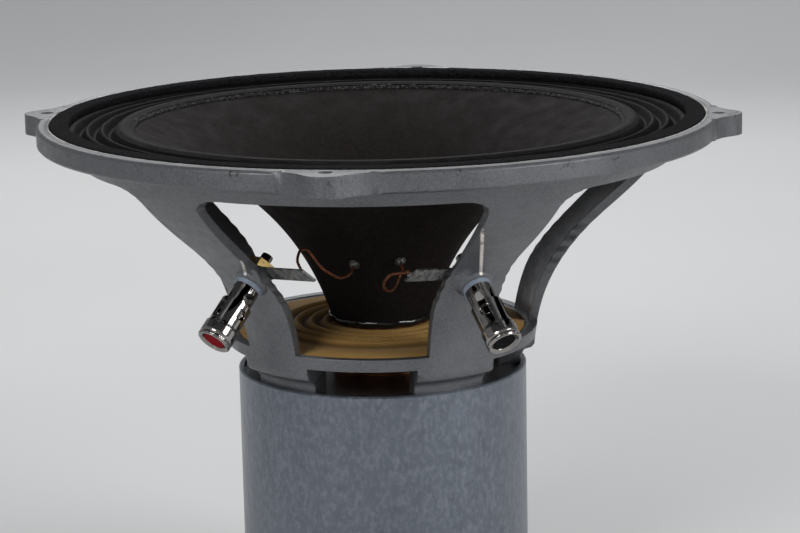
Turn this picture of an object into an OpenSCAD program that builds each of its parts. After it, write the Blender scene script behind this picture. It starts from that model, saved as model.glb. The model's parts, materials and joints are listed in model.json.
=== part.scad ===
// Mid-bass driver with a cast five-legged basket, a paper cone and a field-coil motor in a tall can.
// Millimetres. The origin is the centre of the can's flat bottom, +Z is the way the cone faces,
// and -Y is the side with the two terminals. Azimuths run from -Y towards +X.

/* [Basket] */
// Radius of the flange, which is also the radius of the bolt circle
flange_r = 154; // [150:1:158]
// Thickness of the flange
flange_t = 9.2; // [8:0.1:11]
// Height of the flange's top above the rim of the can
basket_h = 116; // [114:1:118]
// Thickness of the cast wall
wall_t = 4.2; // [3.6:0.1:4.6]
// Radius of a mounting hole
ear_hole_r = 2.75; // [2:0.05:3.5]
// Radius of an ear around its hole
ear_r = 10.5; // [9:0.5:12]
// Radius of the blend between an ear and the flange
ear_blend_r = 22; // [18:1:26]
// Half angle of a window at its wide upper part, in degrees
window_half = 28.2; // [26:0.1:29]
// Half angle of a window at its sill, in degrees
sill_half = 24.4; // [22:0.1:25]
// Half angle of a slot under a window, in degrees
slot_half = 20.2; // [18:0.1:21]

/* [Cone] */
// Radius of the cone's mouth
mouth_r = 116.6; // [114:0.1:118]
// Radius of the cone's neck
neck_r = 23.05; // [23:0.01:23.1]
// Growth rate of the cone's flare, per millimetre of height
flare = 0.0227; // [0.02:0.0001:0.025]
// Thickness of the cone's paper
cone_t = 0.75; // [0.6:0.05:0.8]
// Number of pleats in the surround
pleats = 3; // [2:1:4]
// Height of a pleat from trough to crest
pleat_h = 3.6; // [2:0.1:4]
// Number of rolls in the spider
rolls = 4; // [3:1:5]
// Height of a roll from trough to crest
roll_h = 2.6; // [1.5:0.1:3]
// Thickness of the spider's and surround's cloth
cloth_t = 0.6; // [0.4:0.05:0.8]

/* [Motor] */
// Radius of the can
can_r = 66.6; // [66.4:0.1:67]
// Height of the can
can_h = 128; // [124:1:140]
// Thickness of the can's wall at its two rims
rim_t = 2.4; // [2.2:0.1:2.6]
// Thickness of the can's wall between its rims
yoke_t = 5; // [4.5:0.1:5.2]
// Thickness of the top plate
top_plate_t = 10; // [8:0.5:11]
// Thickness of the back plate
back_plate_t = 12; // [11:0.5:14]
// Radius of the pole's tip
pole_r = 21.4; // [21:0.1:21.5]
// Radius of the hole in the top plate
gap_r = 23.7; // [23.6:0.1:24]
// Inner radius of the voice coil's former
former_r = 21.95; // [21.9:0.01:21.97]

/* [Terminals] */
// Distance of a terminal's seat from the axis
seat_r = 88.8; // [88.6:0.1:89]
// Depth of a terminal's seat below the flange's top
seat_drop = 63.1; // [62.9:0.1:63.3]
// Azimuth of the red terminal, in degrees
red_az = -31.8; // [-32.6:0.1:-31.4]
// Azimuth of the black terminal, in degrees
black_az = 34.9; // [34.5:0.1:36]
// Angle by which a terminal points down, in degrees
droop = 42; // [41:1:43]
// Angle by which a terminal is turned outwards from the radius, in degrees
splay = 2; // [0:1:4]
// Travel of a terminal's sleeve
press = 8.2; // [7:0.1:8.2]
// Radius of the hole for the wire
wire_hole_r = 2.7; // [2:0.1:2.7]

/* [Hidden] */
$fn = 96;

// Levels. A drop is a depth below the flange's top.
top_z = can_h + basket_h;
legs = 5;
leg_step = 360 / legs;
foot_drop = basket_h + 2;
plate_top_z = top_z - foot_drop;
plate_low_z = plate_top_z - top_plate_t;

// Basket wall: a cubic curve from under the flange to the top of the feet, as [radius, height]
wall_low_drop = 108;
wall_curve = [
    [140, top_z - flange_t],
    [112, top_z - 54],
    [76, top_z - 52],
    [70.5, top_z - wall_low_drop]
];
wall_steps = 14;
ledge_r = 138.6;
recess_r = 148.5;
recess_d = 3.5;
window_top_drop = 17.8;
window_corner = 7.2;
window_top_half = 22.5;
sill_drop = 97.8;
shelf_drop = 99;
shelf_t = 4.5;
foot_in_r = 54;
foot_r = 64;
cove_r = 65;
cove_drops = [109.6, 110.6, 112, 113.6];
foot_screw_r = 57.5;
foot_screw_depth = 10;
reach_r = 175;

// Cone
neck_z = top_z - 93.6;
mouth_z = top_z - 2.9;
flare_gain = (mouth_r - neck_r) / (exp(flare * (mouth_z - neck_z)) - 1);
cone_steps = 16;
cap_r = 32.2;
cap_h = 11;
cap_z = neck_z + 25.4;

// Cloth parts
body_gap = 0.3;
roll_in_r = 22.7;
roll_pitch = 6.66;
roll_mid_z = top_z - 97;
lip_drop = 1.2;
pleat_in_r = 118;
pleat_out_r = 138;
pleat_mid_z = top_z - 5;
cloth_points = 10;

// Voice coil
former_t = 0.25;
coil_h = 18;
coil_t = 0.85;
coil_mid_z = plate_low_z + top_plate_t / 2;

// Heights of the countersunk screws and of the supply bush in the can's wall
back_screw_z = 5;
grommet_z = 24;

// Terminal: heights along its own axis from its seat, outwards
seat_pad_t = 1.2;
seat_pad_r = 6.7;
washer_t = 1.9;
washer_r = 6.3;
washer_top = seat_pad_t + washer_t;
inner_washer_t = 0.7;
seat_boss_r = 8;
seat_boss_t = 5.1;
stud_r = 2.6;
stud_end = -15.3;
lug_t = 0.8;
lug_r = 5.8;
lug_w = 7.6;
lug_turn = 8;
red_lug_len = 35.8;
black_lug_len = 32.5;
lug_front = -(seat_boss_t + inner_washer_t + 0.05);
lug_back = lug_front - lug_t;
nut_flats = 11.5;
nut_t = 4;
collar_r = 5.9;
collar_in_r = 4.3;
collar_top = 18.2;
collar_floor = 14.7;
wire_hole_s = 8.5;
pin_r = 0.9;
pin_s = 13.45;
pin_reach = 6.9;
sleeve_r = 7.05;
sleeve_in_r = 6.25;
sleeve_low = 11.9;
sleeve_slot = [14.5, 20.7];
sleeve_slot_half = 2.1;
cap_low = 24.5;
cap_wall = 27.4;
cap_wall_t = 2.7;
cap_band_r = 7.7;
cap_end = 32.05;
disc_r = 4.9;
red_spin = 9.5;
black_spin = 131.5;
spring_turns = 4;
spring_wire_r = 0.4;
spring_r = 3.5;
spring_low = collar_floor + spring_wire_r + 0.1;
spring_high = cap_wall - spring_wire_r - 0.1;
spring_rings = 8;
spring_sides = 6;

// Eyelets on the cone, as [azimuth, height]
red_eyelet = [-10.1, top_z - 62.1];
black_eyelet = [21, top_z - 60.9];
eyelet_r = 2.6;
solder_r = 1.9;

// Places a point given at a terminal's seat; -1 is red and 1 black
function turn_x(p, a) = [p[0], p[1] * cos(a) - p[2] * sin(a), p[1] * sin(a) + p[2] * cos(a)];
function turn_z(p, a) = [p[0] * cos(a) - p[1] * sin(a), p[0] * sin(a) + p[1] * cos(a), p[2]];
function seat_point(side, p) =
    turn_z(
        [0, -seat_r, top_z - seat_drop] + turn_z(turn_x(p, 90 + droop), side * splay),
        side < 0 ? red_az : black_az
    );

// Tinsel leads: from the back of a lug, in slack, to just short of the solder on an eyelet
lead_r = 0.65;
lead_sides = 8;
red_route = [
    seat_point(-1, [27.6, 4, lug_back]), seat_point(-1, [27.6, 4, lug_back - 1.5]), [-23.3, -85.5, 191],
    [-24.7, -81.5, 192], [-25.3, -77, 193.3], [-25, -73, 195], [-24, -69.5, 195], [-22.5, -66, 193.5],
    [-21, -63, 190.5], [-19.5, -60, 187], [-17.5, -57, 183.5], [-14.5, -53.5, 180.5],
    [-12, -49.5, 178], [-9.5, -45.5, 177.7], [-7.4, -41.3, 178.9], [-6.9, -38.75, 180.6]
];
black_route = [
    seat_point(1, [-30, 4, lug_back]), seat_point(1, [-30, 4, lug_back - 1.5]), [23.3, -86, 189.3],
    [22.5, -82.5, 188], [20.5, -79, 187], [18, -75.3, 186], [14.5, -71, 184.5], [12, -67, 182],
    [10, -62.5, 179], [9.5, -58.5, 175.7], [10.5, -55, 173.6], [12, -51.5, 173.2],
    [13, -47.3, 174.3], [14, -43.5, 176.6], [15.2, -39.9, 180], [14.4, -37.45, 181.8]
];

// Curves
function bezier(p, t) =
    pow(1 - t, 3) * p[0] + 3 * t * pow(1 - t, 2) * p[1] + 3 * t * t * (1 - t) * p[2] + pow(t, 3) * p[3];
function bezier_slope(p, t) =
    pow(1 - t, 2) * (p[1] - p[0]) + 2 * t * (1 - t) * (p[2] - p[1]) + t * t * (p[3] - p[2]);
function unit(v) = v / norm(v);
function inward(v) = [v[1], -v[0]];
function wall_point(t, depth) =
    bezier(wall_curve, t) + depth * unit(inward(bezier_slope(wall_curve, t)));
function cone_r(z) = neck_r + flare_gain * (exp(flare * (z - neck_z)) - 1);
function cone_slope(z) = flare * flare_gain * exp(flare * (z - neck_z));
function cone_in_r(z) = cone_r(z) - cone_t * norm([1, cone_slope(z)]);
function smooth(t) = let (c = min(1, max(0, t))) c * c * (3 - 2 * c);
function window_angle(drop) = sill_half + (window_half - sill_half) * smooth((78 - drop) / 29);

// Points along a route, smoothed through its own points
function smooth_point(p, i, t) =
    let (
        a = p[max(i - 1, 0)],
        b = p[i],
        c = p[i + 1],
        d = p[min(i + 2, len(p) - 1)]
    )
    0.5 * (2 * b + (c - a) * t + (2 * a - 5 * b + 4 * c - d) * t * t + (3 * b - a - 3 * c + d) * t * t * t);
function smooth_route(p, cuts) =
    concat(
        [p[0]],
        [for (i = [1:len(p) - 3], k = [0:cuts - 1]) smooth_point(p, i, k / cuts)],
        [p[len(p) - 2], p[len(p) - 1]]
    );
function route_way(p, i) = unit(p[min(i + 1, len(p) - 1)] - p[max(i - 1, 0)]);
function ring(p, i, r, sides, side_way) =
    let (
        way = route_way(p, i),
        u = unit(cross(way, side_way)),
        v = cross(way, u)
    )
    [for (k = [0:sides - 1]) p[i] + r * (cos(360 * k / sides) * u + sin(360 * k / sides) * v)];

// A tube swept along points, as triangles
module tube(points, r, sides, side_way) {
    rings = len(points);
    last = (rings - 1) * sides;
    polyhedron(
        points = [for (i = [0:rings - 1]) each ring(points, i, r, sides, side_way)],
        faces = concat(
            [for (i = [0:rings - 2], k = [0:sides - 1])
                [i * sides + k, (i + 1) * sides + k, (i + 1) * sides + (k + 1) % sides]],
            [for (i = [0:rings - 2], k = [0:sides - 1])
                [i * sides + k, (i + 1) * sides + (k + 1) % sides, i * sides + (k + 1) % sides]],
            [for (k = [1:sides - 2]) [0, k, k + 1]],
            [for (k = [1:sides - 2]) [last, last + k + 1, last + k]]
        ),
        convexity = 6
    );
}

// Repeats a shape around the axis
module around(count, first = 0) {
    for (i = [0:count - 1])
        rotate([0, 0, first + i * 360 / count])
            children();
}

// A flat ring
module washer_ring(outer, inner, low, high) {
    rotate_extrude()
        translate([inner, low])
            square([outer - inner, high - low]);
}

// Basket

// One ear of the flange at +X, with its concave blends
module ear() {
    blend_at = flange_r + ear_blend_r;
    reach = ear_r + ear_blend_r;
    turn = acos((pow(blend_at, 2) + pow(flange_r, 2) - pow(reach, 2)) / (2 * blend_at * flange_r));
    blend_x = blend_at * cos(turn);
    blend_y = blend_at * sin(turn);
    touch = [flange_r, 0] + ear_r / reach * ([blend_x, blend_y] - [flange_r, 0]);
    root = flange_r - 4;
    translate([0, 0, top_z - flange_t])
        difference() {
            union() {
                linear_extrude(flange_t)
                    polygon([
                        [root * cos(turn), -root * sin(turn)],
                        [blend_x, -blend_y],
                        [touch[0], -touch[1]],
                        [touch[0], touch[1]],
                        [blend_x, blend_y],
                        [root * cos(turn), root * sin(turn)]
                    ]);
                translate([flange_r, 0, 0])
                    cylinder(h = flange_t, r = ear_r);
            }
            for (side = [-1, 1])
                translate([blend_x, side * blend_y, -1])
                    cylinder(h = flange_t + 2, r = ear_blend_r);
        }
}

// The cavity of a window: a wedge from the axis whose angle follows the legs' curved sides
module window_wedge() {
    corner = [for (t = [0:0.25:1])
        [
            window_top_drop + window_corner * (1 - sin(90 * t)),
            window_top_half + (window_half - window_top_half) * cos(90 * t)
        ]];
    levels = concat([for (drop = [sill_drop, 78, 74, 69, 64, 59, 54, 49]) [drop, window_angle(drop)]], corner);
    count = len(levels);
    polyhedron(
        points = [for (level = levels) each [
            [0, 0, top_z - level[0]],
            [-reach_r * sin(level[1]), -reach_r * cos(level[1]), top_z - level[0]],
            [reach_r * sin(level[1]), -reach_r * cos(level[1]), top_z - level[0]]
        ]],
        faces = concat(
            [[0, 1, 2]],
            [[3 * count - 3, 3 * count - 1, 3 * count - 2]],
            [for (i = [0:count - 2]) each [
                [3 * i, 3 * i + 3, 3 * i + 4],
                [3 * i, 3 * i + 4, 3 * i + 1],
                [3 * i + 1, 3 * i + 4, 3 * i + 5],
                [3 * i + 1, 3 * i + 5, 3 * i + 2],
                [3 * i + 2, 3 * i + 5, 3 * i + 3],
                [3 * i + 2, 3 * i + 3, 3 * i]
            ]]
        ),
        convexity = 4
    );
}

// The cavity of a slot between two feet
module slot_wedge() {
    low = top_z - foot_drop - 1;
    translate([0, 0, low])
        linear_extrude(top_z - shelf_drop - shelf_t - low)
            polygon([
                [0, 0],
                [-reach_r * sin(slot_half), -reach_r * cos(slot_half)],
                [reach_r * sin(slot_half), -reach_r * cos(slot_half)]
            ]);
}

// The turned profile of flange, wall, spider shelf and feet
module basket_profile() {
    polygon(concat(
        [
            [recess_r, top_z],
            [flange_r - 1.2, top_z],
            [flange_r, top_z - 1.2],
            [flange_r, top_z - flange_t + 1],
            [flange_r - 1, top_z - flange_t]
        ],
        [for (i = [0:wall_steps]) wall_point(i / wall_steps, 0)],
        [
            [69, top_z - cove_drops[0]],
            [cove_r + 0.8, top_z - cove_drops[1]],
            [cove_r, top_z - cove_drops[2]],
            [foot_r, top_z - cove_drops[3]],
            [foot_r, plate_top_z],
            [foot_in_r, plate_top_z],
            [foot_in_r, top_z - shelf_drop],
            [wall_point(1, wall_t)[0], top_z - shelf_drop]
        ],
        [for (i = [wall_steps - 1:-1:0]) wall_point(i / wall_steps, wall_t)],
        [[ledge_r, top_z - recess_d], [recess_r, top_z - recess_d]]
    ));
}

// The round boss and tapered pad that a terminal is clamped to
module seat_boss() {
    rotate_extrude()
        polygon([
            [0, -seat_boss_t],
            [seat_boss_r, -seat_boss_t],
            [seat_boss_r, 0],
            [seat_pad_r, seat_pad_t],
            [0, seat_pad_t]
        ]);
}

module basket() {
    color("silver")
        difference() {
            union() {
                difference() {
                    union() {
                        rotate_extrude()
                            basket_profile();
                        around(4)
                            difference() {
                                ear();
                                translate([0, 0, top_z - recess_d])
                                    cylinder(h = recess_d + 1, r = recess_r + 0.01);
                            }
                    }
                    around(legs)
                        window_wedge();
                    around(legs)
                        slot_wedge();
                }
                for (side = [-1, 1])
                    at_seat(side)
                        seat_boss();
            }
            around(4)
                translate([flange_r, 0, top_z - flange_t - 1])
                    cylinder(h = flange_t + 2, r = ear_hole_r);
            for (side = [-1, 1])
                at_seat(side)
                    translate([0, 0, -seat_boss_t - 3])
                        cylinder(h = seat_boss_t + 6, r = stud_r + 0.2);
            around(legs, leg_step / 2)
                translate([0, -foot_screw_r, plate_top_z - 1])
                    cylinder(h = foot_screw_depth + 1, r = 2.05);
        }
}

module gasket() {
    color("dimgray")
        washer_ring(148.2, 139.4, top_z - recess_d + cloth_t + 0.05, top_z + 0.8);
}

// Cloth parts

// The surround: a lip on the cone's edge, the pleats and the flat rim under the gasket
module surround() {
    half = cloth_t / 2;
    lift = body_gap + half + 0.2;
    pitch = (pleat_out_r - pleat_in_r) / pleats;
    count = pleats * cloth_points;
    lip = [for (z = [mouth_z - lip_drop, mouth_z]) [cone_in_r(z), z + lift]];
    waves = [for (i = [0:count])
        let (r = pleat_in_r + (pleat_out_r - pleat_in_r) * i / count)
        [r, pleat_mid_z + pleat_h / 2 * cos(360 * (r - pleat_in_r) / pitch)]];
    edge = [mouth_r + 0.5, mouth_z + 0.6];
    rim_z = top_z - recess_d + half + 0.02;
    line = concat(lip, [edge], waves, [[ledge_r + 1.4, rim_z], [148, rim_z]]);
    color([0.09, 0.09, 0.1])
        rotate_extrude()
            polygon(concat(
                [for (p = line) p - [0, half]],
                [for (i = [len(line) - 1:-1:0]) line[i] + [0, half]]
            ));
}

// The spider: a collar round the former, the rolls and the flat rim on the shelf
module spider() {
    half = cloth_t / 2;
    collar_in = former_r + former_t + body_gap;
    collar_out = collar_in + cloth_t;
    collar_low = roll_mid_z - roll_h / 2 - half;
    out_r = roll_in_r + rolls * roll_pitch;
    count = rolls * cloth_points;
    rim_z = top_z - shelf_drop + half + 0.02;
    waves = [for (i = [1:count])
        let (r = roll_in_r + (out_r - roll_in_r) * i / count)
        [r, roll_mid_z - roll_h / 2 * cos(360 * (r - roll_in_r) / roll_pitch)]];
    line = concat(waves, [[out_r + 2, rim_z], [65.8, rim_z]]);
    color("burlywood")
        rotate_extrude()
            polygon(concat(
                [[collar_in, collar_low], [collar_out, collar_low]],
                [for (p = line) p - [0, half]],
                [for (i = [len(line) - 1:-1:0]) line[i] + [0, half]],
                [[collar_out, collar_low + roll_h], [collar_in, collar_low + roll_h]]
            ));
}

// Cone assembly

module cone() {
    levels = [for (i = [0:cone_steps]) neck_z + (mouth_z - neck_z) * i / cone_steps];
    color([0.2, 0.18, 0.18])
        difference() {
            rotate_extrude()
                polygon(concat(
                    [for (z = levels) [cone_r(z), z]],
                    [for (i = [cone_steps:-1:0]) [cone_in_r(levels[i]), levels[i]]]
                ));
            for (eyelet = [red_eyelet, black_eyelet])
                on_cone(eyelet)
                    translate([0, 0, -3])
                        cylinder(h = 6, r = 1.6);
        }
}

module dust_cap() {
    ball_r = (cap_r * cap_r + cap_h * cap_h) / (2 * cap_h);
    color([0.16, 0.15, 0.15])
        intersection() {
            translate([0, 0, cap_z + cap_h - ball_r])
                difference() {
                    sphere(ball_r);
                    sphere(ball_r - 0.8);
                }
            translate([0, 0, cap_z])
                cylinder(h = cap_h + 1, r = cap_r);
        }
}

module coil_former() {
    color("sienna")
        washer_ring(former_r + former_t, former_r, coil_mid_z - coil_h / 2 - 0.5, neck_z + 2.6);
}

module voice_coil() {
    inner = former_r + former_t + 0.02;
    color("peru")
        washer_ring(inner + coil_t, inner, coil_mid_z - coil_h / 2, coil_mid_z + coil_h / 2);
}

// The bead of adhesive between the neck, the former and the spider
module neck_glue() {
    inner = former_r + former_t + 0.05;
    color([0.12, 0.11, 0.1])
        rotate_extrude()
            polygon([
                [inner, neck_z - 1.5],
                [neck_r + 0.9, neck_z - 1.2],
                [neck_r + 1.5, neck_z + 0.2],
                [neck_r + 1.25, neck_z + 1.4],
                [neck_r + 0.7, neck_z + 1.7],
                [neck_r + 0.1, neck_z - 0.05],
                [inner, neck_z - 0.05]
            ]);
}

// Places a shape on the cone's outer face, with +Z pointing out of the paper
module on_cone(place) {
    rotate([0, 0, place[0]])
        translate([0, -cone_r(place[1]), place[1]])
            rotate([90 + atan(cone_slope(place[1])), 0, 0])
                children();
}

// The two eyelets where the leads are soldered
module cone_eyelets() {
    color("silver")
        for (eyelet = [red_eyelet, black_eyelet])
            on_cone(eyelet) {
                translate([0, 0, -cone_t - 0.8])
                    cylinder(h = cone_t + 1.3, r = 1.5);
                translate([0, 0, 0.35])
                    cylinder(h = 0.5, r = eyelet_r);
                intersection() {
                    translate([0, 0, 0.2])
                        sphere(solder_r);
                    translate([0, 0, 0.3])
                        cylinder(h = 4, r = solder_r + 1);
                }
            }
}

module red_tinsel_lead() {
    color("sienna")
        tube(smooth_route(red_route, 2), lead_r, lead_sides, [1, 0, 0]);
}

module black_tinsel_lead() {
    color("sienna")
        tube(smooth_route(black_route, 2), lead_r, lead_sides, [1, 0, 0]);
}

// Motor

module can() {
    wide = can_r - rim_t;
    color([0.55, 0.58, 0.63])
        difference() {
            rotate_extrude()
                polygon([
                    [can_r - 1, 0],
                    [can_r, 1],
                    [can_r, can_h - 0.6],
                    [can_r - 0.6, can_h],
                    [wide, can_h],
                    [wide, plate_low_z],
                    [can_r - yoke_t, plate_low_z],
                    [can_r - yoke_t, back_plate_t],
                    [wide, back_plate_t],
                    [wide, 0]
                ]);
            around(4, 45)
                translate([0, -wide + 1, back_screw_z])
                    rotate([90, 0, 0]) {
                        cylinder(h = 4, r = 2.15);
                        translate([0, 0, 1.3])
                            cylinder(h = 2.4, r1 = 2.15, r2 = 4.4);
                    }
            translate([0, can_r - yoke_t - 1, grommet_z])
                rotate([-90, 0, 0])
                    cylinder(h = yoke_t + 2, r = 5.5);
        }
}

module top_plate() {
    color("gray")
        difference() {
            washer_ring(can_r - rim_t - 0.1, gap_r, plate_low_z, plate_top_z);
            around(legs, leg_step / 2)
                translate([0, -foot_screw_r, plate_low_z - 1])
                    cylinder(h = top_plate_t + 2, r = 2.2);
        }
}

module pole_piece() {
    thick_r = pole_r + 2.6;
    color("gray")
        difference() {
            rotate_extrude()
                polygon([
                    [0, back_plate_t],
                    [thick_r, back_plate_t],
                    [thick_r, plate_low_z - 20],
                    [pole_r, plate_low_z - 16],
                    [pole_r, plate_top_z + 1],
                    [pole_r - 1, plate_top_z + 2],
                    [0, plate_top_z + 2]
                ]);
            translate([0, 0, back_plate_t - 1])
                cylinder(h = 25, r = 4.05);
        }
}

module pole_bolt() {
    color("dimgray")
        difference() {
            union() {
                translate([0, 0, 0.6])
                    cylinder(h = 8, r = 6.5);
                translate([0, 0, 8])
                    cylinder(h = 26, r = 4);
            }
            translate([0, 0, -1])
                cylinder(h = 5.6, r = 3.46, $fn = 6);
        }
}

module coil_bobbin() {
    inner = pole_r + 2.9;
    high = plate_low_z - 7;
    low = back_plate_t + 0.3;
    color("saddlebrown") {
        washer_ring(inner + 1.5, inner, low, high);
        washer_ring(58, inner + 1, low, low + 2);
        washer_ring(58, inner + 1, high - 2, high);
    }
}

module field_coil() {
    color("peru")
        washer_ring(56, pole_r + 4.5, back_plate_t + 2.4, plate_low_z - 9.1);
}

module coil_wrap() {
    color("saddlebrown")
        washer_ring(57.3, 56.05, back_plate_t + 2.4, plate_low_z - 9.1);
}

module back_plate() {
    outer = can_r - rim_t - 0.1;
    color("gray")
        difference() {
            cylinder(h = back_plate_t, r = outer);
            translate([0, 0, -1])
                cylinder(h = 9.6, r = 7.2);
            translate([0, 0, 5])
                cylinder(h = back_plate_t, r = 4.2);
            around(4, 45)
                translate([0, -outer + 11, back_screw_z])
                    rotate([90, 0, 0])
                        cylinder(h = 13, r = 2.05);
        }
}

// Four countersunk screws through the can's wall into the back plate's edge
module back_plate_screws() {
    color("silver")
        around(4, 45)
            translate([0, -(can_r - 12), back_screw_z])
                rotate([90, 0, 0])
                    difference() {
                        union() {
                            cylinder(h = 10, r = 2);
                            translate([0, 0, 9.9])
                                cylinder(h = 1.8, r1 = 2, r2 = 3.8);
                        }
                        translate([-5, -0.45, 10.7])
                            cube([10, 0.9, 2]);
                    }
}

// Five screws from below the top plate into the basket's feet
module basket_screws() {
    color("silver")
        around(legs, leg_step / 2)
            translate([0, -foot_screw_r, 0])
                difference() {
                    union() {
                        translate([0, 0, plate_low_z - 3.5])
                            cylinder(h = 3.5, r = 3.5);
                        translate([0, 0, plate_low_z - 1])
                            cylinder(h = top_plate_t + foot_screw_depth, r = 2);
                    }
                    translate([-5, -0.5, plate_low_z - 4.5])
                        cube([10, 1, 2]);
                }
}

// The rubber bush in the can's wall that the field coil's supply cord comes through
module supply_grommet() {
    in_face = can_r - yoke_t;
    color([0.1, 0.1, 0.1])
        translate([0, 0, grommet_z])
            rotate([-90, 0, 0])
                rotate_extrude()
                    polygon([
                        [3, in_face - 2.3],
                        [6.8, in_face - 2.3],
                        [6.8, in_face - 0.6],
                        [5.4, in_face - 0.6],
                        [5.4, can_r + 0.1],
                        [8, can_r + 0.1],
                        [8, can_r + 1.2],
                        [7, can_r + 2.2],
                        [3, can_r + 2.2]
                    ]);
}

// Terminals

// Places a shape at a terminal's seat, with +Z along its axis, outwards; -1 is red and 1 black
module at_seat(side) {
    rotate([0, 0, side < 0 ? red_az : black_az])
        translate([0, -seat_r, top_z - seat_drop])
            rotate([90 + droop, 0, side * splay])
                children();
}

module outer_washer() {
    color([0.75, 0.82, 0.9])
        washer_ring(washer_r, stud_r + 0.05, seat_pad_t, washer_top);
}

module inner_washer() {
    color([0.75, 0.82, 0.9])
        washer_ring(6.8, stud_r + 0.05, -seat_boss_t - inner_washer_t, -seat_boss_t);
}

// A hole across a terminal, round its axis by a turn
module cross_hole(turn, height, r) {
    rotate([0, 0, turn])
        translate([-8, 0, height])
            rotate([0, 90, 0])
                cylinder(h = 16, r = r);
}

// Stud and collar, with the cross hole for the wire, the pin's hole and the spring's blind bore
module post(spin) {
    color("lightgray")
        difference() {
            union() {
                translate([0, 0, stud_end])
                    cylinder(h = washer_top - stud_end + 0.5, r = stud_r);
                translate([0, 0, washer_top])
                    cylinder(h = collar_top - washer_top, r = collar_r);
            }
            translate([0, 0, collar_floor])
                cylinder(h = collar_top, r = collar_in_r);
            cross_hole(spin, wire_hole_s, wire_hole_r);
            cross_hole(spin + 90, pin_s, pin_r + 0.05);
        }
}

module nut() {
    color("gold")
        translate([0, 0, lug_back - 0.05 - nut_t])
            difference() {
                cylinder(h = nut_t, r = nut_flats / 2 / cos(30), $fn = 6);
                translate([0, 0, -1])
                    cylinder(h = nut_t + 2, r = stud_r + 0.03);
            }
}

// Solder lug: a ring under the nut and a flat tab, cut at a slant, that reaches into the window
module lug(side) {
    reach = side < 0 ? red_lug_len : black_lug_len;
    half = lug_w / 2;
    color("darkgray")
        mirror([side < 0 ? 0 : 1, 0, 0])
            translate([0, 0, lug_back])
                difference() {
                    union() {
                        cylinder(h = lug_t, r = lug_r);
                        rotate([0, 0, lug_turn])
                            linear_extrude(lug_t)
                                polygon([
                                    [0, 0.1 - lug_r],
                                    [8, -half],
                                    [reach - 1.4, -half],
                                    [reach, 0.6 - half],
                                    [reach - 2.6, half],
                                    [8, half],
                                    [0, lug_r - 0.1]
                                ]);
                    }
                    translate([0, 0, -1])
                        cylinder(h = lug_t + 2, r = stud_r + 0.1);
                }
}

// The sprung outer sleeve with its two wire holes, its two slots for the pin and its end cap
module sleeve(spin) {
    color("lightgray")
        difference() {
            rotate_extrude()
                polygon([
                    [sleeve_in_r, sleeve_low],
                    [sleeve_r, sleeve_low],
                    [sleeve_r, cap_low - 0.3],
                    [cap_band_r, cap_low],
                    [cap_band_r, cap_end - 2.35],
                    [cap_band_r - 0.25, cap_end - 2],
                    [cap_band_r - 0.6, cap_end - 1.85],
                    [cap_band_r - 0.6, cap_end - 1.55],
                    [cap_band_r - 0.2, cap_end - 1.4],
                    [cap_band_r, cap_end - 1.05],
                    [cap_band_r - 0.05, cap_end - 0.55],
                    [cap_band_r - 0.5, cap_end - 0.1],
                    [cap_band_r - 1.2, cap_end],
                    [cap_band_r - 1.8, cap_end - 0.35],
                    [disc_r + 0.3, cap_end - 1.05],
                    [disc_r + 0.3, cap_wall + cap_wall_t],
                    [0, cap_wall + cap_wall_t],
                    [0, cap_wall],
                    [sleeve_in_r, cap_wall]
                ]);
            cross_hole(spin, wire_hole_s + press, wire_hole_r);
            for (s = sleeve_slot)
                cross_hole(spin + 90, s, sleeve_slot_half);
            rotate([0, 0, spin + 90])
                translate([-8, -sleeve_slot_half, sleeve_slot[0]])
                    cube([16, 2 * sleeve_slot_half, sleeve_slot[1] - sleeve_slot[0]]);
        }
}

// The pin through the collar that guides the sleeve by its slots
module guide_pin(spin) {
    color("silver")
        rotate([0, 0, spin + 90])
            translate([-pin_reach, 0, pin_s])
                rotate([0, 90, 0])
                    cylinder(h = 2 * pin_reach, r = pin_r);
}

module disc(tint) {
    color(tint)
        translate([0, 0, cap_wall + cap_wall_t + 0.1])
            cylinder(h = 1, r = disc_r);
}

// Centre line of the sleeve's return spring
spring_line = [for (i = [0:spring_turns * spring_rings])
    let (turn = i / spring_rings)
    [
        spring_r * cos(360 * turn),
        spring_r * sin(360 * turn),
        spring_low + (spring_high - spring_low) * turn / spring_turns
    ]];
spring_gap = min([for (i = [0:len(spring_line) - 1], j = [i + spring_rings / 2:len(spring_line) - 1])
    norm(spring_line[i] - spring_line[j])]) - 2 * spring_wire_r;
echo("least gap between the spring's turns, mm", spring_gap);

module spring() {
    color("silver")
        tube(spring_line, spring_wire_r, spring_sides, [0, 0, 1]);
}

basket();
gasket();
surround();
spider();
cone();
dust_cap();
coil_former();
voice_coil();
neck_glue();
cone_eyelets();
red_tinsel_lead();
black_tinsel_lead();
can();
top_plate();
pole_piece();
pole_bolt();
coil_bobbin();
field_coil();
coil_wrap();
back_plate();
back_plate_screws();
basket_screws();
supply_grommet();
at_seat(-1) outer_washer();  // red_outer_washer
at_seat(-1) inner_washer();  // red_inner_washer
at_seat(-1) post(red_spin);  // red_post
at_seat(-1) nut();  // red_nut
at_seat(-1) lug(-1);  // red_lug
at_seat(-1) sleeve(red_spin);  // red_sleeve
at_seat(-1) guide_pin(red_spin);  // red_pin
at_seat(-1) disc("crimson");  // red_disc
at_seat(-1) spring();  // red_spring
at_seat(1) outer_washer();  // black_outer_washer
at_seat(1) inner_washer();  // black_inner_washer
at_seat(1) post(black_spin);  // black_post
at_seat(1) nut();  // black_nut
at_seat(1) lug(1);  // black_lug
at_seat(1) sleeve(black_spin);  // black_sleeve
at_seat(1) guide_pin(black_spin);  // black_pin
at_seat(1) disc("black");  // black_disc
at_seat(1) spring();  // black_spring
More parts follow.
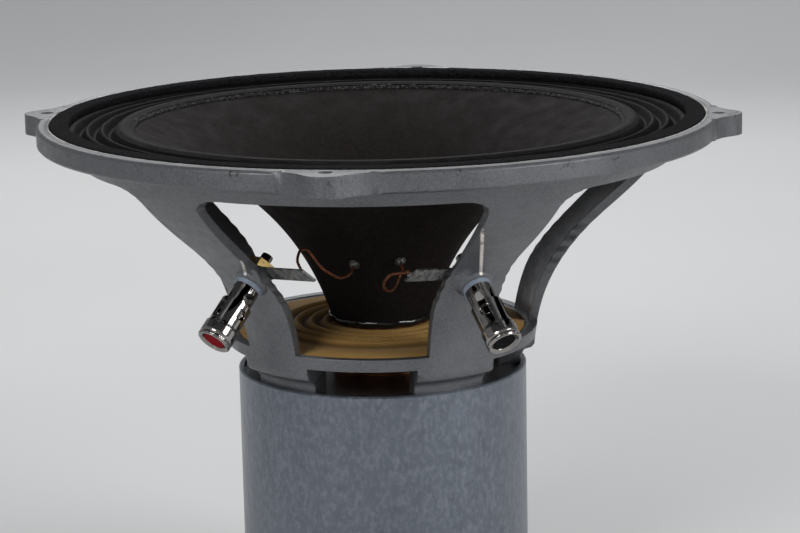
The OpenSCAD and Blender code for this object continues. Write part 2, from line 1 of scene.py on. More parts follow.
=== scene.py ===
"""Looks of the mid-bass driver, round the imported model.

A grey cast basket, doped and woven cloth rings, a paper cone, nickel terminals and a hammer-painted can.
Metres; +Z is the way the cone faces and -Y is the terminals' side. Azimuths are in degrees from -Y towards
+X, and a drop is a depth below the flange's top.
"""
import json
import math

import bmesh
import bpy
import numpy as np
from mathutils import Matrix, Vector, noise


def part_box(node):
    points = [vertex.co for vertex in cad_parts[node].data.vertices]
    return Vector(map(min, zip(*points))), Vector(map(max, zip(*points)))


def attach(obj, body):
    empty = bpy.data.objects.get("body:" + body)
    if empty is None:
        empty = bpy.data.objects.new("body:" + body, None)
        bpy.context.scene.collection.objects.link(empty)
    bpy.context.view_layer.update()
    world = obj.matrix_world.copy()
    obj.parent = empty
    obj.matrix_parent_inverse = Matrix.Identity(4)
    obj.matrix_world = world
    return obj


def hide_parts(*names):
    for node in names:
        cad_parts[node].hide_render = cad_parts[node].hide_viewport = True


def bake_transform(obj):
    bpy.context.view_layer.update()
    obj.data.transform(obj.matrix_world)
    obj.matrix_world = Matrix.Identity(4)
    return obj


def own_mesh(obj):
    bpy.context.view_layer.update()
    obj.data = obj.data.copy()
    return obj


MM = 0.001
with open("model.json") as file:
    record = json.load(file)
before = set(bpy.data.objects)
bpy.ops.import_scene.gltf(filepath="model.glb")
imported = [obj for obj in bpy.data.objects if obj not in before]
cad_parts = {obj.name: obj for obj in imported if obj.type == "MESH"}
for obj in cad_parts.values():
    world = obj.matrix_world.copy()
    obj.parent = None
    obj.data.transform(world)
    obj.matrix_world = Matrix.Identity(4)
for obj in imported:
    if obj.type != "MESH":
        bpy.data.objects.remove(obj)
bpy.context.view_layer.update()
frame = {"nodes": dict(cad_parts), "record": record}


def edge(node, high, axis):
    """A CAD node's lowest (0) or highest (1) coordinate along an axis."""
    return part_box(node)[high][axis]


# Driving dimensions, from the frame
TOP = edge("basket", 1, 2)
NECK_Z = edge("cone", 0, 2)
MOUTH_Z = edge("cone", 1, 2)
MOUTH_R = edge("cone", 1, 0)
GASKET_TOP = edge("gasket", 1, 2)
GASKET_R = edge("gasket", 1, 0)
FORMER_R = edge("coil_former", 1, 0)
SPIDER_R = edge("spider", 1, 0)
SURROUND_R = edge("surround", 1, 0)

# Basket
FLANGE_R = 154 * MM
FLANGE_T = 9.2 * MM
WALL_T = 4.2 * MM
WALL_END = 108 * MM
WALL_CURVE = (
    (140 * MM, TOP - FLANGE_T), (112 * MM, TOP - 54 * MM),
    (76 * MM, TOP - 52 * MM), (70.5 * MM, TOP - WALL_END),
)
RECESS_R = 148.7 * MM
GASKET_W = 8.8 * MM

# Cone and cloth rings
NECK_R = 23.05 * MM
FLARE = 22.7
PAPER_T = 0.75 * MM
CLOTH_T = 0.6 * MM
SECTORS = 20

# Terminals: azimuth of each, and the seat's place and tilt
SIDES = {"red": -1, "black": 1}
SEAT_AZ = {"red": -31.8, "black": 34.9}
SEAT_R = 88.8 * MM
SEAT_DROP = 63.1 * MM
DROOP = 42
SPLAY = 2
LUG_BACK = -6.65 * MM


def on_axis(r, azimuth, z):
    """The point at a radius and an azimuth."""
    a = math.radians(azimuth)
    return Vector((r * math.sin(a), -r * math.cos(a), z))


def seat(colour):
    """The frame of a terminal's seat: +Z is outwards along the terminal's axis."""
    turn = Matrix.Rotation(math.radians(SEAT_AZ[colour]), 4, "Z")
    place = Matrix.Translation((0, -SEAT_R, TOP - SEAT_DROP))
    splay = Matrix.Rotation(math.radians(SIDES[colour] * SPLAY), 4, "Z")
    droop = Matrix.Rotation(math.radians(90 + DROOP), 4, "X")
    return turn @ place @ splay @ droop


# Camera: lens and sensor in millimetres, roll in degrees
CAMERA_EYE = (0.1535, -1.1157, 0.4162)
CAMERA_WAY = (-0.12554, 0.96925, -0.21167)
CAMERA_ROLL = -1.15
LENS = 112.5
SENSOR = 36


def camera():
    """The photograph's view: 12 degrees down, rolled by about one degree."""
    eye = Vector(CAMERA_EYE)
    forward = Vector(CAMERA_WAY).normalized()
    right = forward.cross(Vector((0, 0, 1))).normalized()
    up = right.cross(forward)
    roll = math.radians(CAMERA_ROLL)
    side = math.cos(roll) * right + math.sin(roll) * up
    top = math.cos(roll) * up - math.sin(roll) * right
    lens = bpy.data.cameras.new("camera")
    lens.lens = LENS
    lens.sensor_width = SENSOR
    lens.clip_end = 20
    shot = bpy.data.objects.new("camera", lens)
    shot.matrix_world = Matrix.Translation(eye) @ Matrix((side, top, -forward)).transposed().to_4x4()
    bpy.context.scene.collection.objects.link(shot)
    bpy.context.scene.camera = shot


camera()


# Meshes
def put(name, mesh, materials=(), smooth=True):
    """A new object in the scene, at the origin."""
    piece = bpy.data.objects.new(name, mesh)
    bpy.context.scene.collection.objects.link(piece)
    for material in materials:
        mesh.materials.append(material)
    if smooth:
        mesh.shade_smooth()
    return piece


def grid_mesh(name, rows, close_rows=False, close_columns=False, caps=False):
    """A mesh of quads from rows of points, with its faces turned outwards."""
    height, width = len(rows), len(rows[0])
    points = [p for row in rows for p in row]
    faces = []
    for i in range(height if close_rows else height - 1):
        for k in range(width if close_columns else width - 1):
            j, m = (i + 1) % height, (k + 1) % width
            faces.append((i * width + k, i * width + m, j * width + m, j * width + k))
    if caps:
        faces.append(tuple(range(width))[::-1])
        faces.append(tuple((height - 1) * width + k for k in range(width)))
    mesh = bpy.data.meshes.new(name)
    mesh.from_pydata([tuple(p) for p in points], [], faces)
    work = bmesh.new()
    work.from_mesh(mesh)
    bmesh.ops.recalc_face_normals(work, faces=work.faces)
    work.to_mesh(mesh)
    work.free()
    return mesh


def lathe(name, outline, steps, first=0, sweep=360, shape=None):
    """A closed outline of (radius, height) turned about the axis. shape(r, azimuth, z) may move a point."""
    full = sweep == 360
    rows = []
    for i in range(steps if full else steps + 1):
        azimuth = first + sweep * i / steps
        row = []
        for r, z in outline:
            if shape:
                r, z = shape(r, azimuth, z)
            row.append(on_axis(r, azimuth, z))
        rows.append(row)
    return grid_mesh(name, rows, close_rows=full, close_columns=True)


def sheet_outline(line, thick):
    """The closed outline of a thin sheet that follows a line of (radius, height)."""
    half = thick / 2
    return [(r, z - half) for r, z in line] + [(r, z + half) for r, z in reversed(line)]


def coordinates(mesh):
    """A mesh's vertices as an array."""
    flat = np.empty(len(mesh.vertices) * 3)
    mesh.vertices.foreach_get("co", flat)
    return flat.reshape(-1, 3)


def smooth_step(t):
    """An even rise from 0 to 1."""
    t = np.clip(t, 0, 1)
    return t * t * (3 - 2 * t)


def bumps(p, size, seed=0):
    """Smooth noise from -1 to 1 at a point, with features of that size."""
    return noise.noise(Vector(p) / size + Vector((seed, seed, seed)))


# The basket's wall
def bezier(curve, t):
    """Points on a cubic curve, given by its four control points."""
    a, b, c, d = (np.array(p) for p in curve)
    t = np.asarray(t)[:, None]
    return (1 - t) ** 3 * a + 3 * t * (1 - t) ** 2 * b + 3 * t * t * (1 - t) * c + t ** 3 * d


WALL_LINE = bezier(WALL_CURVE, np.linspace(0, 1, 640))

# The two ridges on the wall, from a window's edge to a terminal, as (azimuth outwards, drop)
FOLDS = {"red": ((27.9, 50.4 * MM), (30.7, 57.6 * MM)), "black": ((28.2, 32.4 * MM), (35.0, 57.6 * MM))}
FOLD_FADE = 70 * MM
FOLD_SLOPE = {"red": 0.42, "black": 0.3}
FOLD_MOST = 2.2 * MM
FOLD_AZ = (20, 40)


def on_wall(azimuth, drop, lift=0):
    """A point on the wall's outer face, lifted outwards."""
    r, z = WALL_LINE[np.abs(WALL_LINE[:, 1] - (TOP - drop)).argmin()]
    return on_axis(r + lift, azimuth, z)


# Materials
class Shader:
    """A Principled material under construction, with short calls for the nodes that the finishes use."""

    def __init__(self, name, **sockets):
        self.material = bpy.data.materials.new(name)
        self.material.use_nodes = True
        self.tree = self.material.node_tree
        self.nodes = self.tree.nodes
        self.shader = self.nodes["Principled BSDF"]
        for socket, value in sockets.items():
            self.shader.inputs[socket.replace("_", " ")].default_value = value
        self.place = self.nodes.new("ShaderNodeTexCoord").outputs["Object"]

    def link(self, source, target):
        self.tree.links.new(source, target)

    def scaled(self, factors):
        """The place in the object, stretched by a factor along each axis."""
        node = self.nodes.new("ShaderNodeMapping")
        node.inputs["Scale"].default_value = factors
        self.link(self.place, node.inputs["Vector"])
        return node.outputs["Vector"]

    def noise(self, size, detail=3, rough=0.5, stretch=None):
        """Noise from 0 to 1 with features of that size in metres."""
        node = self.nodes.new("ShaderNodeTexNoise")
        node.inputs["Scale"].default_value = 1 / size
        node.inputs["Detail"].default_value = detail
        node.inputs["Roughness"].default_value = rough
        self.link(self.scaled(stretch) if stretch else self.place, node.inputs["Vector"])
        return node.outputs["Fac"]

    def cells(self, size, feature="F1", stretch=None):
        """Voronoi distance with cells of that size in metres."""
        node = self.nodes.new("ShaderNodeTexVoronoi")
        node.feature = feature
        node.inputs["Scale"].default_value = 1 / size
        self.link(self.scaled(stretch) if stretch else self.place, node.inputs["Vector"])
        return node.outputs["Distance"]

    def math(self, kind, a, b=0.0, c=0.0):
        node = self.nodes.new("ShaderNodeMath")
        node.operation = kind
        for socket, value in zip(node.inputs, (a, b, c)):
            if hasattr(value, "is_linked"):
                self.link(value, socket)
            else:
                socket.default_value = value
        return node.outputs[0]

    def between(self, value, low, high, to_low=0.0, to_high=1.0):
        """Maps a value's range to another, clamped."""
        node = self.nodes.new("ShaderNodeMapRange")
        limits = {"From Min": low, "From Max": high, "To Min": to_low, "To Max": to_high}
        for socket, number in limits.items():
            node.inputs[socket].default_value = number
        self.link(value, node.inputs["Value"])
        return node.outputs["Result"]

    def polar(self):
        """(radius, azimuth in radians, height) of the place in the object."""
        split = self.nodes.new("ShaderNodeSeparateXYZ")
        self.link(self.place, split.inputs[0])
        x, y, z = split.outputs
        r = self.math("SQRT", self.math("ADD", self.math("MULTIPLY", x, x), self.math("MULTIPLY", y, y)))
        return r, self.math("ARCTAN2", x, y), z

    def wave(self, axis, pitch):
        """A wave of that pitch along an axis, from -1 to 1."""
        split = self.nodes.new("ShaderNodeSeparateXYZ")
        self.link(self.place, split.inputs[0])
        return self.math("SINE", self.math("MULTIPLY", split.outputs[axis], 2 * math.pi / pitch))

    def vector(self, kind, a, b, output=0):
        node = self.nodes.new("ShaderNodeVectorMath")
        node.operation = kind
        for socket, value in zip(node.inputs, (a, b)):
            if hasattr(value, "is_linked"):
                self.link(value, socket)
            else:
                socket.default_value = value
        return node.outputs[output]

    def off_line(self, start, end):
        """The distance of the place in the object from a straight line between two points."""
        way = end - start
        from_start = self.vector("SUBTRACT", self.place, start)
        share = self.math("DIVIDE", self.vector("DOT_PRODUCT", from_start, way, 1), way.length_squared)
        share = self.between(share, 0, 1)
        reach = self.nodes.new("ShaderNodeVectorMath")
        reach.operation = "SCALE"
        reach.inputs[0].default_value = way
        self.link(share, reach.inputs["Scale"])
        return self.vector("DISTANCE", from_start, reach.outputs[0], 1)

    def mix(self, factor, a, b):
        """A colour between a and b; each is a colour or a socket."""
        node = self.nodes.new("ShaderNodeMix")
        node.data_type = "RGBA"
        self.link(factor, node.inputs["Factor"])
        for socket, value in ((node.inputs[6], a), (node.inputs[7], b)):
            if hasattr(value, "is_linked"):
                self.link(value, socket)
            else:
                socket.default_value = (*value, 1)
        return node.outputs[2]

    def colour(self, value):
        self.link(value, self.shader.inputs["Base Color"])

    def rough(self, value):
        self.link(value, self.shader.inputs["Roughness"])

    def rounded(self, radius):
        """Rounds the look of the mesh's edges."""
        node = self.nodes.new("ShaderNodeBevel")
        node.samples = 4
        node.inputs["Radius"].default_value = radius
        self.link(node.outputs["Normal"], self.shader.inputs["Normal"])

    def bump(self, height, depth, strength=1.0):
        """Adds relief of that depth in metres, over any relief already there."""
        node = self.nodes.new("ShaderNodeBump")
        node.inputs["Distance"].default_value = depth
        node.inputs["Strength"].default_value = strength
        self.link(height, node.inputs["Height"])
        target = self.shader.inputs["Normal"]
        if target.is_linked:
            self.link(target.links[0].from_socket, node.inputs["Normal"])
        self.link(node.outputs["Normal"], target)


def cast_paint():
    """Grey paint on the casting, with painted highlights along the ridges and the recess's step, and
    chipped at the rim.
    """
    s = Shader("cast_paint", Metallic=0.7, Specular_IOR_Level=0.5)
    s.rounded(0.8 * MM)
    cloud = s.noise(22 * MM, 4, 0.6)
    grain = s.noise(0.9 * MM, 3, 0.7)
    tone = s.mix(s.between(cloud, 0.3, 0.7), (0.094, 0.097, 0.105), (0.138, 0.142, 0.152))
    tone = s.mix(s.between(grain, 0.35, 0.8), tone, (0.19, 0.193, 0.2))
    r, _, z = s.polar()
    on_top = s.between(z, TOP - 1.5 * MM, TOP - 0.8 * MM)
    off_step = s.math("ABSOLUTE", s.math("SUBTRACT", r, RECESS_R))
    step = s.math("MULTIPLY", on_top, s.between(off_step, 0.5 * MM, 0))
    # Painted highlight: a pale, broken line on the flange's top along the recess's step, where light
    # catches the edge.
    painted_glint = s.math("MULTIPLY", step, s.between(s.noise(4 * MM, 4, 0.7), 0.35, 0.6))
    # Painted highlight: a pale, broken line along each terminal leg's ridge, where light catches it.
    for colour, line in FOLDS.items():
        start, end = (on_wall(SIDES[colour] * azimuth, drop, 0.3 * MM) for azimuth, drop in line)
        ridge = s.between(s.off_line(start, end), 1 * MM, 0.5 * MM)
        broken_ridge_glint = s.math("MULTIPLY", ridge, s.between(s.noise(4 * MM, 3, 0.6), 0.3, 0.45))
        painted_glint = s.math("MAXIMUM", painted_glint, broken_ridge_glint)
    tone = s.mix(painted_glint, tone, (0.85, 0.8, 0.76))
    rim = s.math(
        "MULTIPLY",
        s.between(z, TOP - 5 * MM, TOP - 1.2 * MM),
        s.between(r, FLANGE_R - 2.5 * MM, FLANGE_R - 1 * MM),
    )
    chip = s.between(s.noise(2.2 * MM, 5, 0.75), 0.56, 0.6)
    patch = s.between(s.noise(20 * MM, 2, 0.5), 0.46, 0.58)
    chipped = s.math("MULTIPLY", s.math("MULTIPLY", chip, patch), rim)
    s.colour(s.mix(chipped, tone, (0.02, 0.02, 0.022)))
    s.rough(s.between(s.noise(5 * MM, 3), 0.3, 0.7, 0.34, 0.48))
    s.bump(s.noise(5 * MM, 4, 0.6), 0.3 * MM, 0.5)
    s.bump(grain, 0.08 * MM, 0.6)
    s.bump(s.math("SUBTRACT", 1.0, chipped), 0.2 * MM, 0.8)
    return s.material


def hammer_paint():
    """The can's blue-grey hammered paint."""
    s = Shader("hammer_paint", Metallic=0.7, Specular_IOR_Level=0.5, Coat_Weight=0.2, Coat_Roughness=0.25)
    swirl = s.noise(7 * MM, 4, 0.6, (1, 1, 0.8))
    cells = s.cells(5 * MM, "SMOOTH_F1", (1, 1, 0.8))
    fine = s.noise(2.2 * MM, 4, 0.65, (1, 1, 0.6))
    tone = s.mix(s.between(swirl, 0.3, 0.7), (0.1, 0.115, 0.14), (0.17, 0.19, 0.225))
    tone = s.mix(s.between(cells, 0.15, 0.6), tone, (0.13, 0.148, 0.178))
    s.colour(s.mix(s.between(fine, 0.45, 0.85), tone, (0.24, 0.265, 0.305)))
    s.rough(s.between(fine, 0.3, 0.7, 0.3, 0.42))
    s.bump(swirl, 0.7 * MM, 0.6)
    s.bump(cells, 0.5 * MM, 0.5)
    s.bump(fine, 0.2 * MM, 0.6)
    return s.material


def felt():
    """The gasket's nearly black felt."""
    s = Shader("gasket_felt", Roughness=0.95, Specular_IOR_Level=0.03)
    grain = s.noise(1.1 * MM, 4, 0.75)
    s.colour(s.mix(s.between(grain, 0.35, 0.7), (0.003, 0.003, 0.0035), (0.024, 0.024, 0.026)))
    s.bump(grain, 0.6 * MM, 0.9)
    s.bump(s.noise(4 * MM, 3), 0.6 * MM, 0.6)
    return s.material


def doped_cloth():
    """The surround's black, coated weave."""
    s = Shader("surround_cloth", Roughness=0.65, Specular_IOR_Level=0.06)
    r, turn, _ = s.polar()
    weave = s.math(
        "MULTIPLY",
        s.math("SINE", s.math("MULTIPLY", turn, 900.0)),
        s.math("SINE", s.math("MULTIPLY", r, 2 * math.pi / (0.9 * MM))),
    )
    speck = s.noise(1.3 * MM, 4, 0.8)
    s.colour(s.mix(s.between(speck, 0.5, 0.75), (0.002, 0.002, 0.0025), (0.01, 0.01, 0.0115)))
    s.rough(s.between(speck, 0.3, 0.7, 0.5, 0.75))
    s.bump(weave, 0.1 * MM, 0.5)
    s.bump(speck, 0.35 * MM, 0.6)
    return s.material


def edge_speckle():
    """Black adhesive with pale specks."""
    s = Shader("edge_speckle", Roughness=0.7, Specular_IOR_Level=0.1)
    speck = s.noise(1.1 * MM, 5, 0.85)
    s.colour(s.mix(s.between(speck, 0.5, 0.62), (0.005, 0.005, 0.006), (0.11, 0.11, 0.112)))
    s.bump(speck, 0.5 * MM, 0.8)
    return s.material


def woven_cloth():
    """The spider's tan weave, with painted shade in its valleys."""
    s = Shader("spider_cloth", Roughness=0.8, Specular_IOR_Level=0.15, Sheen_Weight=0.08)
    r, _, z = s.polar()
    threads = s.math("ADD", s.wave(0, 0.8 * MM), s.wave(1, 0.8 * MM))
    stain = s.noise(14 * MM, 3, 0.6)
    tone = s.mix(s.between(stain, 0.3, 0.7), (0.36, 0.205, 0.058), (0.48, 0.3, 0.1))
    tone = s.mix(s.between(threads, -1.4, 1.4), (0.27, 0.15, 0.04), tone)
    # Painted shade: dark brown in the rolls' troughs, fading out towards the crests, on the rolled part
    # inside 48 to 51 mm radius.
    valley = s.between(z, TOP - 97.8 * MM, TOP - 96.2 * MM)
    rolls = s.between(r, 51 * MM, 48 * MM)
    low = s.math("MULTIPLY", s.math("SUBTRACT", 1.0, valley), rolls)
    s.colour(s.mix(low, tone, (0.085, 0.042, 0.013)))
    s.bump(threads, 0.12 * MM, 0.6)
    s.bump(s.noise(2.5 * MM, 3), 0.2 * MM, 0.4)
    return s.material


def paper(name, dark, light, roughness):
    """Pressed paper pulp between two tones."""
    s = Shader(name, Roughness=roughness, Specular_IOR_Level=0.05)
    pulp = s.noise(2.2 * MM, 5, 0.75)
    s.colour(s.mix(s.between(pulp, 0.3, 0.75), dark, light))
    s.rough(s.between(s.noise(9 * MM, 3), 0.3, 0.7, roughness - 0.08, roughness + 0.08))
    s.bump(pulp, 0.2 * MM, 0.5)
    return s.material


def plain(name, tone, roughness, metallic=0.0, size=2 * MM, spread=0.25, depth=0.05 * MM, **sockets):
    """A finish of one tone with fine variation in colour, gloss and relief."""
    s = Shader(name, Metallic=metallic, **sockets)
    grain = s.noise(size, 4, 0.65)
    dark = tuple(c * (1 - spread) for c in tone)
    light = tuple(min(1, c * (1 + spread)) for c in tone)
    s.colour(s.mix(s.between(grain, 0.3, 0.7), dark, light))
    s.rough(s.between(grain, 0.3, 0.7, max(0.03, roughness * 0.75), roughness * 1.25))
    s.bump(grain, depth, 0.5)
    return s.material


def braid(name, tone):
    """Braided wire, dark with bright specks."""
    s = Shader(name, Metallic=0.7)
    grain = s.noise(0.45 * MM, 3, 0.7)
    s.colour(s.mix(s.between(grain, 0.5, 0.64), tuple(c * 0.1 for c in tone), tone))
    s.rough(s.between(grain, 0.3, 0.7, 0.3, 0.55))
    return s.material


def wound_wire(name, tone, pitch):
    """Enamelled wire wound round the axis."""
    s = Shader(name, Metallic=0.7, Roughness=0.35)
    _, _, z = s.polar()
    turns = s.math("SINE", s.math("MULTIPLY", z, 2 * math.pi / pitch))
    s.colour(s.mix(s.between(turns, -1, 0.4), tuple(c * 0.25 for c in tone), tone))
    s.bump(turns, 0.15 * MM, 0.8)
    return s.material


def tinned():
    """Dull, blotched solder plating."""
    s = Shader("tinned_metal", Metallic=0.75, Specular_IOR_Level=0.5)
    blotch = s.noise(3.2 * MM, 4, 0.7)
    fine = s.noise(0.7 * MM, 4, 0.7)
    tone = s.mix(s.between(blotch, 0.4, 0.6), (0.025, 0.025, 0.024), (0.2, 0.2, 0.19))
    s.colour(s.mix(s.between(fine, 0.5, 0.8), tone, (0.4, 0.4, 0.39)))
    s.rough(s.between(blotch, 0.3, 0.7, 0.3, 0.6))
    s.bump(fine, 0.15 * MM, 0.6)
    return s.material


FINISH = {
    "cast_paint": cast_paint(),
    "gasket_felt": felt(),
    "surround_cloth": doped_cloth(),
    "spider_cloth": woven_cloth(),
    "cone_paper": paper("cone_paper", (0.009, 0.0075, 0.007), (0.019, 0.0155, 0.0145), 0.72),
    "cap_paper": paper("cap_paper", (0.008, 0.007, 0.007), (0.016, 0.014, 0.0135), 0.7),
    "former_paper": plain(
        "former_paper", (0.13, 0.032, 0.008), 0.3, size=6 * MM, spread=0.4, Specular_IOR_Level=0.6,
    ),
    "copper_wire": wound_wire("copper_wire", (0.5, 0.2, 0.08), 1.1 * MM),
    "black_glue": plain("black_glue", (0.012, 0.011, 0.01), 0.12, size=3 * MM, depth=0.2 * MM),
    "tinned_metal": tinned(),
    "copper_braid": braid("copper_braid", (0.75, 0.27, 0.11)),
    "hammer_paint": hammer_paint(),
    "bare_steel": plain("bare_steel", (0.36, 0.36, 0.37), 0.38, 1.0, size=3 * MM),
    "dark_steel": plain("dark_steel", (0.06, 0.06, 0.065), 0.4, 0.9),
    "bright_steel": plain("bright_steel", (0.6, 0.6, 0.6), 0.22, 1.0),
    "brown_board": plain("brown_board", (0.12, 0.055, 0.025), 0.5),
    "brown_wrap": plain("brown_wrap", (0.2, 0.1, 0.05), 0.6),
    "black_rubber": plain("black_rubber", (0.016, 0.016, 0.016), 0.7, size=1.5 * MM),
    "clear_nylon": plain(
        "clear_nylon", (0.32, 0.38, 0.47), 0.3, size=6 * MM, spread=0.1,
        Subsurface_Weight=0.3, Subsurface_Scale=0.002, Transmission_Weight=0.25,
    ),
    "nickel": plain("nickel", (0.3, 0.285, 0.27), 0.07, 1.0, size=4 * MM, spread=0.12, depth=0.02 * MM),
    "nut_brass": plain("nut_brass", (0.95, 0.68, 0.27), 0.32, 0.9, spread=0.08),
    "red_plastic": plain("red_plastic", (0.2, 0.001, 0.006), 0.6, spread=0.15, Specular_IOR_Level=0.04),
    "black_plastic": plain(
        "black_plastic", (0.004, 0.004, 0.005), 0.6, spread=0.15, Specular_IOR_Level=0.04,
    ),
}
EDGE_SPECKLE = edge_speckle()


# Leads
def between_points(p, i, t):
    """A point between p[i] and p[i + 1] on the smooth curve through all of them."""
    a, b, c, d = p[max(i - 1, 0)], p[i], p[i + 1], p[min(i + 2, len(p) - 1)]
    curve = (2 * a - 5 * b + 4 * c - d) * t * t + (3 * b - a - 3 * c + d) * t ** 3
    return 0.5 * (2 * b + (c - a) * t + curve)


def smooth_route(points, cuts):
    """The route through the given points; its first and last stretch stay straight."""
    last = len(points) - 1
    route = [points[0]]
    route += [between_points(points, i, k / cuts) for i in range(1, last - 1) for k in range(cuts)]
    return route + [points[last - 1], points[last]]


def sweep(name, route, radius, sides, relief=None):
    """A tube along a route. relief(turn, along) scales its radius."""
    way = (route[1] - route[0]).normalized()
    u = way.orthogonal().normalized()
    along = 0
    rows = []
    for i, p in enumerate(route):
        ahead = (route[min(i + 1, len(route) - 1)] - route[max(i - 1, 0)]).normalized()
        u = (u - u.dot(ahead) * ahead).normalized()
        v = ahead.cross(u)
        if i:
            along += (p - route[i - 1]).length
        row = []
        for k in range(sides):
            turn = 2 * math.pi * k / sides
            r = radius * (relief(turn, along) if relief else 1)
            row.append(p + r * (math.cos(turn) * u + math.sin(turn) * v))
        rows.append(row)
    return grid_mesh(name, rows, close_columns=True, caps=True)


PLAIT_PITCH = 2.4 * MM


def plait(turn, along):
    """Two families of strands that cross."""
    wind = 2 * math.pi * along / PLAIT_PITCH
    return 0.82 + 0.18 * max(math.cos(3 * turn + wind), math.cos(3 * turn - wind))


# The leads' points from lug to eyelet, in millimetres, and the solder's place on each lug
LEAD_R = 0.65 * MM
RED_ROUTE = (
    (-23.3, -85.5, 191), (-24.7, -81.5, 192), (-25.3, -77, 193.3), (-25, -73, 195), (-24, -69.5, 195),
    (-22.5, -66, 193.5), (-21, -63, 190.5), (-19.5, -60, 187), (-17.5, -57, 183.5), (-14.5, -53.5, 180.5),
    (-12, -49.5, 178), (-9.5, -45.5, 177.7), (-7.4, -41.3, 178.9), (-6.9, -38.75, 180.6),
)
BLACK_ROUTE = (
    (23.3, -86, 189.3), (22.5, -82.5, 188), (20.5, -79, 187), (18, -75.3, 186), (14.5, -71, 184.5),
    (12, -67, 182), (10, -62.5, 179), (9.5, -58.5, 175.7), (10.5, -55, 173.6), (12, -51.5, 173.2),
    (13, -47.3, 174.3), (14, -43.5, 176.6), (15.2, -39.9, 180), (14.4, -37.45, 181.8),
)
LUG_END = {"red": (27.6, 4), "black": (-30, 4)}


def lead(colour, points):
    """A braided lead from the back of a lug to its eyelet."""
    x, y = LUG_END[colour]
    start = [seat(colour) @ Vector((x * MM, y * MM, LUG_BACK - off * MM)) for off in (0, 1.5)]
    route = smooth_route(start + [Vector(p) * MM for p in points], 12)
    mesh = sweep(f"{colour}_lead", route, LEAD_R, 14, plait)
    piece = put(f"{colour}_lead", mesh, [FINISH["copper_braid"]])
    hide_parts(f"{colour}_tinsel_lead")
    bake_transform(piece)


lead("red", RED_ROUTE)
lead("black", BLACK_ROUTE)


# Basket: the seat's round pad fades between two radii; the casting is cut into bands down the wall
SEAT_PAD = (8.2 * MM, 10.5 * MM)
WELD = 0.002 * MM
FLAT = math.radians(0.2)
BAND_TOP, BAND_H, BANDS = 10 * MM, 2 * MM, 49
LEG_AZ = (20, 39)
LEG_DROP = (24 * MM, 76 * MM)
LEG_CUT_AZ, LEG_CUT_STEP, LEG_CUTS = 20.5, 0.8, 24
# How far from the wall's outer and inner face a point still belongs to that face
FACE_REACH = ((0, 0.5 * MM), (WALL_T, 0.9 * MM))
LOT = 4000
CASTING_CREASE = math.radians(32)
UPWARDS = Vector((0, 0, 1))


def cad_mesh(node):
    """A CAD node's solid as a bmesh, with its points joined."""
    work = bmesh.new()
    work.from_mesh(frame["nodes"][node].data)
    bmesh.ops.remove_doubles(work, verts=work.verts, dist=WELD)
    return work


def level(z):
    """A cutting plane across the axis."""
    return Vector((0, 0, z)), UPWARDS


def through_axis(a):
    """A cutting plane through the axis, at an angle in radians."""
    return Vector((0, 0, 0)), Vector((math.cos(a), math.sin(a), 0))


def meshed(work, name):
    """Turns a cut bmesh into a mesh of triangles and quads."""
    bmesh.ops.triangulate(work, faces=[f for f in work.faces if len(f.verts) > 4])
    mesh = bpy.data.meshes.new(name)
    work.to_mesh(mesh)
    work.free()
    return mesh


def reshaped(mesh, points, crease):
    """Moves a mesh's points and smooths it between edges sharper than the crease's angle."""
    mesh.vertices.foreach_set("co", points.ravel())
    mesh.shade_smooth()
    mesh.set_sharp_from_angle(angle=crease)


def cut(work, geom, planes):
    """Cuts part of a mesh along each plane, given as (point, normal)."""
    for point, normal in planes:
        geom = bmesh.ops.bisect_plane(work, geom=geom, dist=1e-6, plane_co=point, plane_no=normal)["geom"]


def whole(work):
    """All of a bmesh, as the list that a cut takes."""
    return list(work.faces) + list(work.edges) + list(work.verts)


def wall_depth(points):
    """Each point's depth below the wall's outer face, and its way in as (radius, height)."""
    way = np.gradient(WALL_LINE, axis=0)
    way /= np.linalg.norm(way, axis=1)[:, None]
    flat = np.stack([np.hypot(points[:, 0], points[:, 1]), points[:, 2]], 1)
    lots = range(0, len(flat), LOT)
    closest = np.concatenate([
        ((flat[i:i + LOT, None] - WALL_LINE[None]) ** 2).sum(2).argmin(1) for i in lots
    ])
    inwards = np.stack([way[closest, 1], -way[closest, 0]], 1)
    depth = ((flat - WALL_LINE[closest]) * inwards).sum(1)
    return depth, inwards


def from_terminal(points, colour):
    """Each point's distance from a terminal's axis."""
    local = np.array(seat(colour).inverted())
    q = points @ local[:3, :3].T + local[:3, 3]
    return np.hypot(q[:, 0], q[:, 1])


def true_wall(points):
    """Moves the points on the wall's two faces from the CAD's straight steps onto the smooth curve."""
    drop = TOP - points[:, 2]
    free = (drop > FLANGE_T + 0.3 * MM) & (drop < WALL_END - 0.5 * MM)
    for colour in SIDES:
        free &= from_terminal(points, colour) > SEAT_PAD[1]
    index = np.flatnonzero(free)
    depth, inwards = wall_depth(points[index])
    for face, reach in FACE_REACH:
        near = np.abs(depth - face) < reach
        chosen = index[near]
        x, y, z = points[chosen].T
        azimuth = np.arctan2(x, -y)
        r, z = (np.stack([np.hypot(x, y), z], 1) + (face - depth[near])[:, None] * inwards[near]).T
        points[chosen] = np.stack([r * np.sin(azimuth), -r * np.cos(azimuth), z], 1)
    return points


def near_leg(point, colour):
    """Whether a point is where the leg that carries this terminal is folded."""
    azimuth = SIDES[colour] * math.degrees(math.atan2(point.x, -point.y))
    return LEG_AZ[0] < azimuth < LEG_AZ[1] and LEG_DROP[0] < TOP - point.z < LEG_DROP[1]


